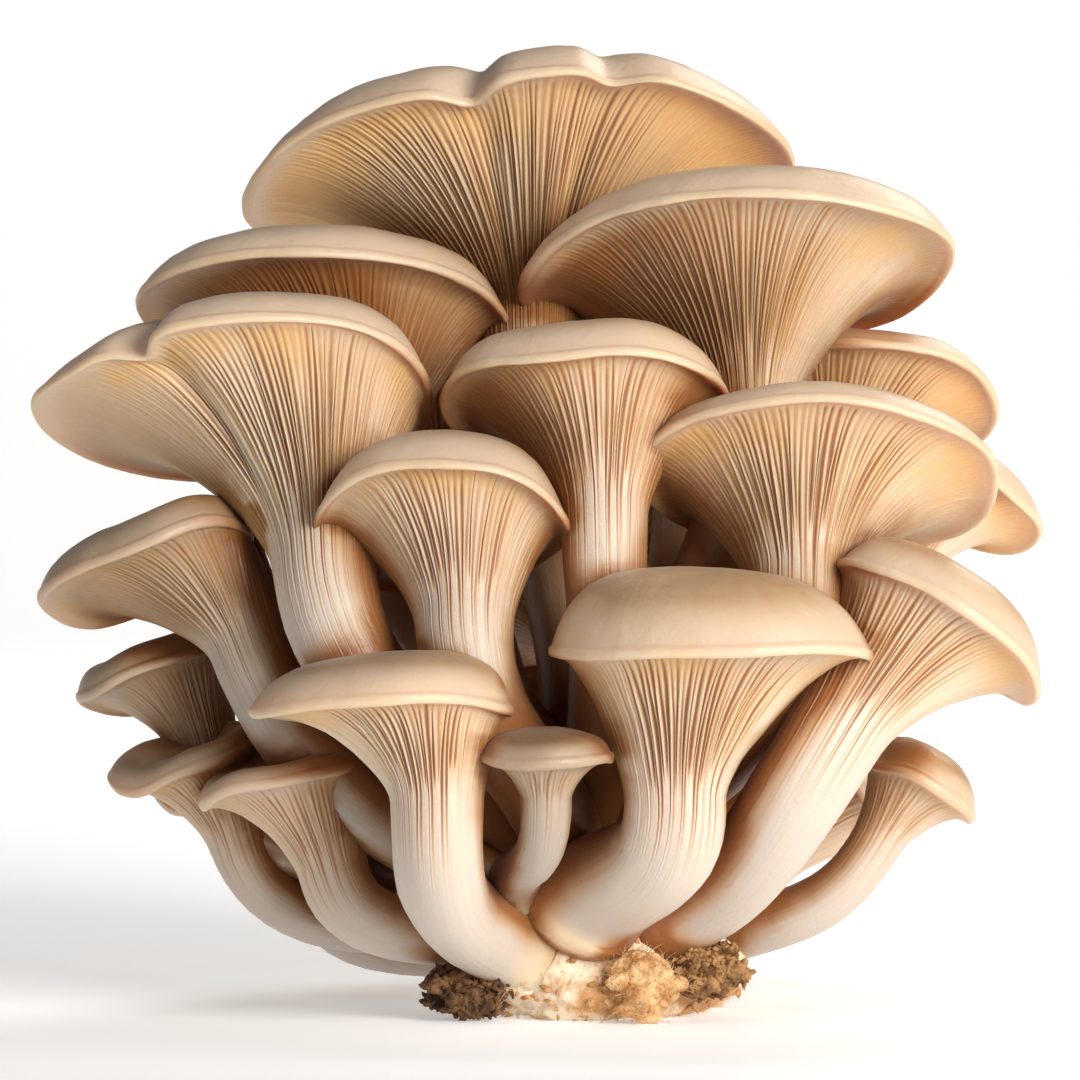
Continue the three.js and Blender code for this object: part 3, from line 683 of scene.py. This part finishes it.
# Colours. along runs from 0 at a mushroom's root over 1 at its neck and 2 at its rim to 3 on top
TOP_TAN = (0.56, 0.36, 0.185, 1)
TOP_PALE = (0.70, 0.50, 0.31, 1)
TOP_DEEP = (0.40, 0.225, 0.10, 1)
# painted shade on the tops' left side, away from the light
TOP_SHADE = (0.27, 0.175, 0.115, 1)
# a pale edge: partly the margin's own colour, partly painted highlight
EDGE_CREAM_AND_HIGHLIGHT = (0.77, 0.59, 0.43, 1)
# painted shade where the flesh is closed in: amber, then brown
SHADE_AMBER = (0.50, 0.27, 0.115, 1)
INNER_PAINTED_SHADE = (0.33, 0.12, 0.032, 1)
# a painted glow of light shining through thin margins
PAINTED_GLOW_AMBER = (1.0, 0.60, 0.24, 1)
UNDER_PALE = (0.64, 0.49, 0.36, 1)
UNDER_AMBER = (0.70, 0.44, 0.20, 1)
GILL_CREAM = (0.80, 0.61, 0.45, 1)
GILL_AMBER = (0.68, 0.43, 0.24, 1)
# painted shade in the gill flanks and gaps
FLANK_PAINTED_SHADE = (0.69, 0.405, 0.19, 1)
HOLLOW_PAINTED_SHADE = (0.31, 0.11, 0.036, 1)
STEM_WHITE = (0.72, 0.635, 0.545, 1)
STEM_GREY = (0.56, 0.485, 0.415, 1)
FOOT_CREAM = (0.95, 0.83, 0.65, 1)
FOOT_TAN = (0.86, 0.66, 0.42, 1)
FOOT_LOW_BROWN = (0.55, 0.27, 0.09, 1)
FOOT_DIRT = (0.34, 0.17, 0.07, 1)


def both(tree, first, second):
    return math_node(tree, "MULTIPLY", first, second)


def flesh_finish():
    """Tan, finely streaked tops with a pale edge that is partly painted highlight; cream gills with
    painted brown shade between them; whitish stems; painted shade on the left and where closed in.
    """
    material, tree, shader = new_finish(
        "mushroom flesh", Roughness=0.42, Subsurface_Weight=0.5, Subsurface_Radius=(1.0, 0.42, 0.15),
        Subsurface_Scale=0.006, Sheen_Weight=0.1, Sheen_Roughness=0.4)
    along, hollow, tone = (read(tree, name) for name in ("along", "hollow", "tone"))
    place = add_node(tree, "ShaderNodeTexCoord")
    spots = grain(tree, place.outputs["Object"], 0.018, 4.0)
    mottle = grain(tree, place.outputs["Object"], 0.005, 5.0)
    fibres = grain(tree, place.outputs["UV"], 0.012, 4.0, (1, 0.03, 1))
    streaks = grain(tree, place.outputs["UV"], 0.035, 2.0, (1, 0.1, 1))
    top = blend(tree, ramp(tree, spots, 0.38, 0.66), TOP_TAN, TOP_PALE)
    patchy = math_node(tree, "MULTIPLY_ADD", ramp(tree, mottle, 0.3, 0.7), 0.6, 0.4)
    # Tops deepen inwards from the rim: partly their own colour, partly painted shade, which is stronger on
    # the darker mushrooms.
    darker = math_node(tree, "MULTIPLY_ADD", tone, -0.55, 1.0)
    inwards = ramp(tree, along, 2.05, 2.3)
    top = blend(tree, both(tree, both(tree, inwards, patchy), darker), top, TOP_DEEP)
    top = blend(tree, both(tree, ramp(tree, fibres, 0.5, 0.8), 0.35), top, TOP_DEEP)
    # Painted shade: the tops darken towards the left, the side away from the light.
    across = add_node(tree, "ShaderNodeSeparateXYZ", [("Vector", place.outputs["Object"])]).outputs[0]
    painted_shade_leftwards = ramp(tree, across, 0.045, -0.065)
    top = blend(tree, both(tree, painted_shade_leftwards, 0.75), top, TOP_SHADE)
    stem = blend(tree, ramp(tree, along, 0.75, 0.05), STEM_WHITE, STEM_GREY)
    stem = blend(tree, both(tree, ramp(tree, fibres, 0.45, 0.75), 0.25), stem, STEM_GREY)
    patches = math_node(tree, "MULTIPLY", spots, 0.25)
    rooted = ramp(tree, math_node(tree, "SUBTRACT", along, patches), 0.12, -0.14)
    stem = blend(tree, both(tree, rooted, 0.8), stem, FOOT_TAN)
    under = blend(tree, ramp(tree, streaks, 0.42, 0.8), GILL_CREAM, GILL_AMBER)
    outer = blend(tree, ramp(tree, spots, 0.42, 0.62), UNDER_PALE, UNDER_AMBER)
    under = blend(tree, ramp(tree, along, 1.5, 1.85), under, outer)
    # Painted glow: the thin margins underneath are painted bright amber, as if lit through from behind.
    thin = both(tree, ramp(tree, along, 1.35, 1.8), read(tree, "amber"))
    under = blend(tree, both(tree, thin, 0.95), under, PAINTED_GLOW_AMBER)
    colour = blend(tree, ramp(tree, along, 0.7, 1.3), stem, under)
    gilled = ramp(tree, along, 0.5, 1.1)
    # Painted shade: the flanks and gaps between the gills are painted amber and brown where they lie deep.
    flank = both(tree, ramp(tree, hollow, 0.02, 0.3), 0.6)
    colour = blend(tree, both(tree, flank, gilled), colour, FLANK_PAINTED_SHADE)
    gap = both(tree, ramp(tree, hollow, 0.1, 0.62), 0.95)
    colour = blend(tree, both(tree, gap, gilled), colour, HOLLOW_PAINTED_SHADE)
    colour = blend(tree, ramp(tree, along, 2.0, 2.12), colour, top)
    # A pale band round the edge: partly the margin's own paler flesh, partly a painted highlight.
    near_edge = both(tree, ramp(tree, along, 1.88, 1.98), ramp(tree, along, 2.25, 2.05))
    colour = blend(tree, both(tree, near_edge, 0.8), colour, EDGE_CREAM_AND_HIGHLIGHT)
    # Painted shade: amber, then brown, where the flesh is closed in by its neighbours.
    shelter = both(tree, read(tree, "shelter"), math_node(tree, "MULTIPLY_ADD", thin, -0.7, 1.0))
    colour = blend(tree, both(tree, ramp(tree, shelter, 0.08, 0.38), 0.8), colour, SHADE_AMBER)
    colour = blend(tree, both(tree, ramp(tree, shelter, 0.28, 0.55), 0.94), colour, INNER_PAINTED_SHADE)
    # Whole mushrooms are lightened or darkened here: partly their own colour, partly painted shade.
    links = [("Color", colour), ("Value", brightness(tree, tone))]
    toned = add_node(tree, "ShaderNodeHueSaturation", links)
    tree.links.new(toned.outputs[0], shader.inputs["Base Color"])
    fine = grain(tree, place.outputs["Object"], 0.0011, 4.0)
    height = math_node(tree, "ADD", both(tree, fibres, 0.5), fine)
    add_bump(tree, shader, height, 0.3, 0.0005)
    return material


def brightness(tree, tone):
    """Brightness from a mushroom's own colour and painted shade: 0.8 at 0, and 1.08 at 1."""
    return math_node(tree, "MULTIPLY_ADD", tone, 0.28, 0.8)


def foot_finish():
    """Cream, fibrous flesh with fine dark specks, browner in patches towards the bottom."""
    material, tree, shader = new_finish(
        "foot flesh", Roughness=0.75, Subsurface_Weight=0.2, Subsurface_Radius=(1.0, 0.45, 0.2),
        Subsurface_Scale=0.003, Sheen_Weight=0.1)
    place = add_node(tree, "ShaderNodeTexCoord")
    height = add_node(tree, "ShaderNodeSeparateXYZ", [("Vector", place.outputs["Object"])]).outputs[2]
    patches = grain(tree, place.outputs["Object"], 0.007, 5.0)
    fine = grain(tree, place.outputs["Object"], 0.0015, 6.0)
    low = both(tree, ramp(tree, height, 0.016, 0.002), ramp(tree, patches, 0.4, 0.62))
    colour = blend(tree, ramp(tree, patches, 0.3, 0.7), FOOT_CREAM, FOOT_TAN)
    colour = blend(tree, low, colour, FOOT_LOW_BROWN)
    colour = blend(tree, both(tree, ramp(tree, fine, 0.5, 0.75), 0.4), colour, FOOT_DIRT)
    tree.links.new(colour, shader.inputs["Base Color"])
    add_bump(tree, shader, math_node(tree, "ADD", fine, patches), 0.7, 0.0012)
    return material


def straw_finish(name, light, dark):
    """Crumbly straw and sawdust: two browns, broken up finely."""
    material, tree, shader = new_finish(name, Roughness=0.85)
    place = add_node(tree, "ShaderNodeTexCoord")
    patches = grain(tree, place.outputs["Object"], 0.003, 6.0)
    fine = grain(tree, place.outputs["Object"], 0.0008, 4.0)
    colour = blend(tree, ramp(tree, patches, 0.35, 0.65), light, dark)
    tree.links.new(colour, shader.inputs["Base Color"])
    add_bump(tree, shader, math_node(tree, "ADD", fine, patches), 0.9, 0.001)
    return material


# Pieces

def link(name, mesh):
    obj = bpy.data.objects.new(name, mesh)
    bpy.context.scene.collection.objects.link(obj)
    return obj


def finished(name, skin_mesh, tree, node, slot, **values):
    """Runs the tree on a skin and puts the result in place of the solid."""
    plain = link(name + "_plain", skin_mesh)
    mesh = run_tree(plain, tree, **values)
    bpy.data.objects.remove(plain)
    mesh.name = name
    piece = link(name, mesh)
    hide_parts(node)
    return piece


# The foot and its crumbs

FOOT = dict(half=(25, 22), height=47, drift=5)
FOOT_FORM = ((0, 0.72), (0.03, 0.86), (0.1, 1), (0.26, 1.02), (0.48, 0.82), (0.72, 0.58), (0.92, 0.36),
             (1, 0.02))  # share of its height, and how wide it is there
SHAG_TOP = 0.026  # where nothing clings any more
SHAG_FADE = 0.016  # below that, how far until all of it clings
CRUMBS = (
    dict(name="crumb_left", centre=(-20, -16, 5.4), half=(7, 6, 4.6), rough=0.16),
    dict(name="crumb_right", centre=(19, -15, 8.6), half=(6.4, 5.5, 4.6), rough=0.16),
    dict(name="crumb_front", centre=(8.6, -22, 6.4), half=(6, 4.2, 6), rough=0.2),
)


def foot_skin():
    skin = Skin()
    phi = even_angles(260)
    shares, widths = zip(*FOOT_FORM)
    skin.ring((0, 0, 0), 0, 0)
    for part in (0.3, 0.6, 0.85):
        skin.ring(foot_ring(phi, 0, widths[0] * part), 0, phi)
    for share in np.linspace(0, 0.985, 74):
        skin.ring(foot_ring(phi, share, np.interp(share, shares, widths)), share, phi)
    skin.ring((0, FOOT["drift"], FOOT["height"]), 1, 0)
    return skin


def foot_ring(phi, share, wide):
    lumps = 0.07 * np.sin(3 * phi + 9 * share) + 0.05 * np.sin(7 * phi - 14 * share + 1)
    reach = wide * (1 + lumps * min(1, share / 0.03))
    x = FOOT["half"][0] * reach * np.cos(phi)
    y = FOOT["half"][1] * reach * np.sin(phi) + FOOT["drift"] * share
    return np.stack([x, y, np.full(len(phi), FOOT["height"] * share)], axis=1)


def crumb_skin(name, centre, half, rough):
    skin = Skin()
    seed = name_seed(name)
    phi = even_angles(96)
    skin.ring(crumb_ring(np.zeros(1), -math.pi / 2, centre, half, rough, seed), 0, 0)
    for tilt in np.linspace(-math.pi / 2, math.pi / 2, 50)[1:-1]:
        skin.ring(crumb_ring(phi, tilt, centre, half, rough, seed), 0.5, phi)
    skin.ring(crumb_ring(np.zeros(1), math.pi / 2, centre, half, rough, seed), 1, 0)
    return skin


def crumb_ring(phi, tilt, centre, half, rough, seed):
    lumps = np.sin(3 * phi + 5 * tilt + seed) + 0.7 * np.sin(5 * phi - 7 * tilt + 2 * seed)
    reach = (1 + rough * lumps * math.cos(tilt)) * math.cos(tilt)
    x = centre[0] + half[0] * reach * np.cos(phi)
    y = centre[1] + half[1] * reach * np.sin(phi)
    return np.stack([x, y, np.full(len(phi), centre[2] + half[2] * math.sin(tilt))], axis=1)


def add_shag(mesh, most):
    """Where chips and fibres cling: all over the lower part, fading out up the foot."""
    shag = mesh.attributes.new("shag", "FLOAT", "POINT")
    for vertex, value in zip(mesh.vertices, shag.data):
        value.value = most * float(smooth((SHAG_TOP - vertex.co.z) / SHAG_FADE))


def fibre_mesh():
    """A thin, bent, three-sided strand that stands up from the origin."""
    skin = Skin()
    phi = even_angles(3)
    skin.ring((0, 0, -0.4), 0, 0)
    for height, wide in ((0, 0.16), (1.4, 0.14), (2.8, 0.11), (4.2, 0.07)):
        bend = 0.12 * height**2 / 2
        points = np.stack([bend + wide * np.cos(phi), wide * np.sin(phi), np.full(3, height)], axis=1)
        skin.ring(points, height, phi)
    skin.ring((1.5, 0, 5.0), 1, 0)
    return skin.mesh("fibre")


def chip_mesh():
    """A flat, ragged splinter of straw."""
    skin = Skin()
    phi = even_angles(6)
    ragged = 1 + 0.3 * np.sin(5 * phi + 1)
    skin.ring((0, 0, -0.3), 0, 0)
    for height, wide in ((-0.2, 0.8), (0.25, 0.9)):
        points = np.stack([1.5 * wide * ragged * np.cos(phi), 0.6 * wide * ragged * np.sin(phi),
                           height + 0.15 * np.sin(2 * phi)], axis=1)
        skin.ring(points, height, phi)
    skin.ring((0.2, 0, 0.5), 1, 0)
    return skin.mesh("chip")


def scattered(name, carrier, tree, shape_mesh, slot, **values):
    """Copies of a small shape all over a piece, as one mesh."""
    shape = link(name + "_shape", shape_mesh)
    source = link(name + "_source", carrier.data.copy())
    mesh = run_tree(source, tree, shape=shape, **values)
    bpy.data.objects.remove(source)
    bpy.data.objects.remove(shape)
    mesh.name = name
    piece = link(name, mesh)
    return piece


def keep_above_floor(mesh):
    for vertex in mesh.vertices:
        vertex.co.z = max(vertex.co.z, 0)


# Building it

raise_gills = gills_tree()
flesh = flesh_finish()
foot_flesh = foot_finish()
straws = dict(
    crumb_left=straw_finish("dark straw", (0.25, 0.12, 0.045, 1), (0.075, 0.03, 0.009, 1)),
    crumb_right=straw_finish("olive straw", (0.50, 0.27, 0.105, 1), (0.19, 0.085, 0.026, 1)),
    crumb_front=straw_finish("rusty straw", (0.86, 0.57, 0.29, 1), (0.54, 0.25, 0.08, 1)))
pale_fibre = straw_finish("pale fibres", (0.90, 0.76, 0.56, 1), (0.72, 0.48, 0.24, 1))

# How light each mushroom is, where it isn't 0.6, partly its own colour and partly painted shade: 1 is the
# palest, and below 0 it is painted as standing in deep shade
TONES_AND_SHADE = dict(front_small=-0.7, left_wide=0.35, top=0.35, upper_left=0.2, left_mid=-0.5, left_low=-0.6,
             low_edge=0.0, left_lowest=-0.2, low_left=0.2, front_right=0.6, low_right=0.6, upper_right=0.5,
             right_wide=0.5, front_left=0.55, centre_left=0.3, right_behind=0.5, small_right=0.2)

# How strongly the thin margin underneath is painted with a glow of light shining through it, from 0 to 1,
# where it isn't 0.15
PAINTED_GLOW_SHARES = dict(top=1.0, right_behind=0.9, far_right=0.7, upper_left=0.6, right_wide=0.5, left_wide=0.35,
             upper_right=0.05, left_mid=0.3, back_high=0.6, back_left=0.6)

# How much painted shade the gills get towards the left, away from the light, where it isn't 0
LEFT_PAINTED_SHADE = dict(upper_right=0.32, upper_left=0.32, right_wide=0.2, centre=0.22, left_mid=0.3,
                  left_wide=0.08, centre_left=0.12, top=0.1)


def left_painted_shade(name, skin):
    """The painted shade to add to how closed in each point is: on the gills only, most at the left."""
    along, angle = np.concatenate(skin.along), np.concatenate(skin.angle)
    on_gills = smooth((along - 1.0) / 0.3) * (1 - smooth((along - 1.8) / 0.15))
    return LEFT_PAINTED_SHADE.get(name, 0) * on_gills * (0.35 + 0.65 * smooth(0.35 - np.cos(angle)))


solids = solids_tree()
mushrooms = []
for row in MUSHROOMS:
    node = "mushroom_" + row["name"]
    skin = grow(row)
    mesh = skin.mesh(node)
    add_values(mesh, "tone", np.full(skin.count, TONES_AND_SHADE.get(row["name"], 0.6)))
    ends = np.cos(np.concatenate(skin.angle)) ** 2
    add_values(mesh, "amber", PAINTED_GLOW_SHARES.get(row["name"], 0.15) * (0.4 + 0.6 * ends))
    add_values(mesh, "shelter", sheltered(skin, solids) + left_painted_shade(row["name"], skin))
    size = row["half"][0] / FULL_HALF_WIDTH
    depth = GILL_DEPTH * min(size, math.sqrt(size)) * MM
    mushrooms.append(finished(
        row["name"] + "_skin", mesh, raise_gills, node, "flesh", gill_depth=depth,
        unevenness=1.4 * MM, uneven_size=14 * MM, seed=float(row["seed"]), material=flesh))

foot = finished("foot_skin", foot_skin().mesh("foot"), raise_gills, "foot", "foot", gill_depth=0.0,
                unevenness=4 * MM, uneven_size=7 * MM, seed=3.0, material=foot_flesh)
crumbs = []
for row in CRUMBS:
    lumpy = 3 * MM if row["name"] == "crumb_front" else 4.5 * MM
    mesh = crumb_skin(**row).mesh(row["name"])
    crumbs.append(finished(
        row["name"] + "_skin", mesh, raise_gills, row["name"], "substrate", gill_depth=0.0,
        unevenness=lumpy, uneven_size=2.6 * MM, seed=5.0, material=straws[row["name"]]))
add_shag(foot.data, 1.0)
for crumb in crumbs:
    add_shag(crumb.data, 2.0)
spread = scatter_tree()
tufts = [scattered("foot_fibres", foot, spread, fibre_mesh(), "foot", density=400000.0, smallest=0.2,
                   largest=0.5, seed=4, material=pale_fibre),
         scattered("foot_chips", foot, spread, chip_mesh(), "substrate", density=60000.0, smallest=0.4,
                   largest=1.3, seed=9, material=straws["crumb_front"])]
for crumb in crumbs:
    node = crumb.name.removesuffix("_skin")
    in_front = node == "crumb_front"
    shape = fibre_mesh() if in_front else chip_mesh()
    smallest, largest = (0.25, 0.55) if in_front else (0.4, 1.2)
    tufts.append(scattered(
        node + "_chips", crumb, spread, shape, "substrate", density=350000.0, smallest=smallest,
        largest=largest, seed=2, material=straws[node]))
for piece in [foot, *crumbs, *tufts]:
    keep_above_floor(piece.data)
for piece in [*mushrooms, foot, *crumbs, *tufts]:
    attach(piece, "root")


# Floor, light and camera

def backdrop():
    """A pale floor that curves up behind, no higher than the camera needs."""
    start, radius, turn = 1.0, 0.8, 0.9
    profile = [(-2.0, 0.0), (start, 0.0)]
    for a in np.linspace(0, turn, 25)[1:]:
        profile.append((start + radius * math.sin(a), radius - radius * math.cos(a)))
    points = [(x, y, z) for y, z in profile for x in (-3.0, 3.0)]
    faces = [(2 * i, 2 * i + 1, 2 * i + 3, 2 * i + 2) for i in range(len(profile) - 1)]
    mesh = bpy.data.meshes.new("floor")
    mesh.from_pydata(points, [], faces)
    mesh.shade_smooth()
    white = (0.93, 0.93, 0.93, 1)
    mesh.materials.append(new_finish(
        "pale floor", Roughness=0.9, Base_Color=white, Emission_Color=white, Emission_Strength=0.35)[0])
    link("floor", mesh)


def add_light(name, place, size, power, colour, aim=(0, 0, 0.08)):
    data = bpy.data.lights.new(name, "AREA")
    data.shape = "DISK"
    data.size = size
    data.energy = power
    data.color = colour
    light = bpy.data.objects.new(name, data)
    bpy.context.scene.collection.objects.link(light)
    light.location = place
    light.rotation_euler = (Vector(aim) - Vector(place)).to_track_quat("-Z", "Y").to_euler()


def add_camera():
    """The photograph's view: level with the cluster, from far enough to flatten it."""
    aim = Vector((-0.0085, 0, 0.0803))
    distance = 1.5
    shown = 0.1836
    tilt = math.radians(3)
    data = bpy.data.cameras.new("camera")
    data.sensor_width = 36
    data.lens = data.sensor_width * distance / shown
    camera = bpy.data.objects.new("camera", data)
    bpy.context.scene.collection.objects.link(camera)
    back = Vector((0, -math.cos(tilt), math.sin(tilt)))
    camera.location = aim + back * distance
    camera.rotation_euler = (-back).to_track_quat("-Z", "Y").to_euler()
    bpy.context.scene.camera = camera


backdrop()
add_light("key", (0.85, -1.1, 0.5), 0.7, 24.5, (1.0, 0.97, 0.93))
add_light("fill", (-0.9, -1.1, 0.3), 0.9, 1.5, (0.95, 0.97, 1.0))
add_light("back", (0.45, 0.8, 0.7), 0.5, 3.5, (1.0, 0.95, 0.88))
add_light("floor light", (0, 0.6, 1.7), 1.4, 14, (1, 1, 1), (0, 1.8, 0.9))
add_camera()
world = bpy.data.worlds.new("studio")
bpy.context.scene.world = world
world.use_nodes = True
world.node_tree.nodes["Background"].inputs[0].default_value = (1, 1, 1, 1)
world.node_tree.nodes["Background"].inputs[1].default_value = 0.1
bpy.context.scene.view_settings.view_transform = "Standard"
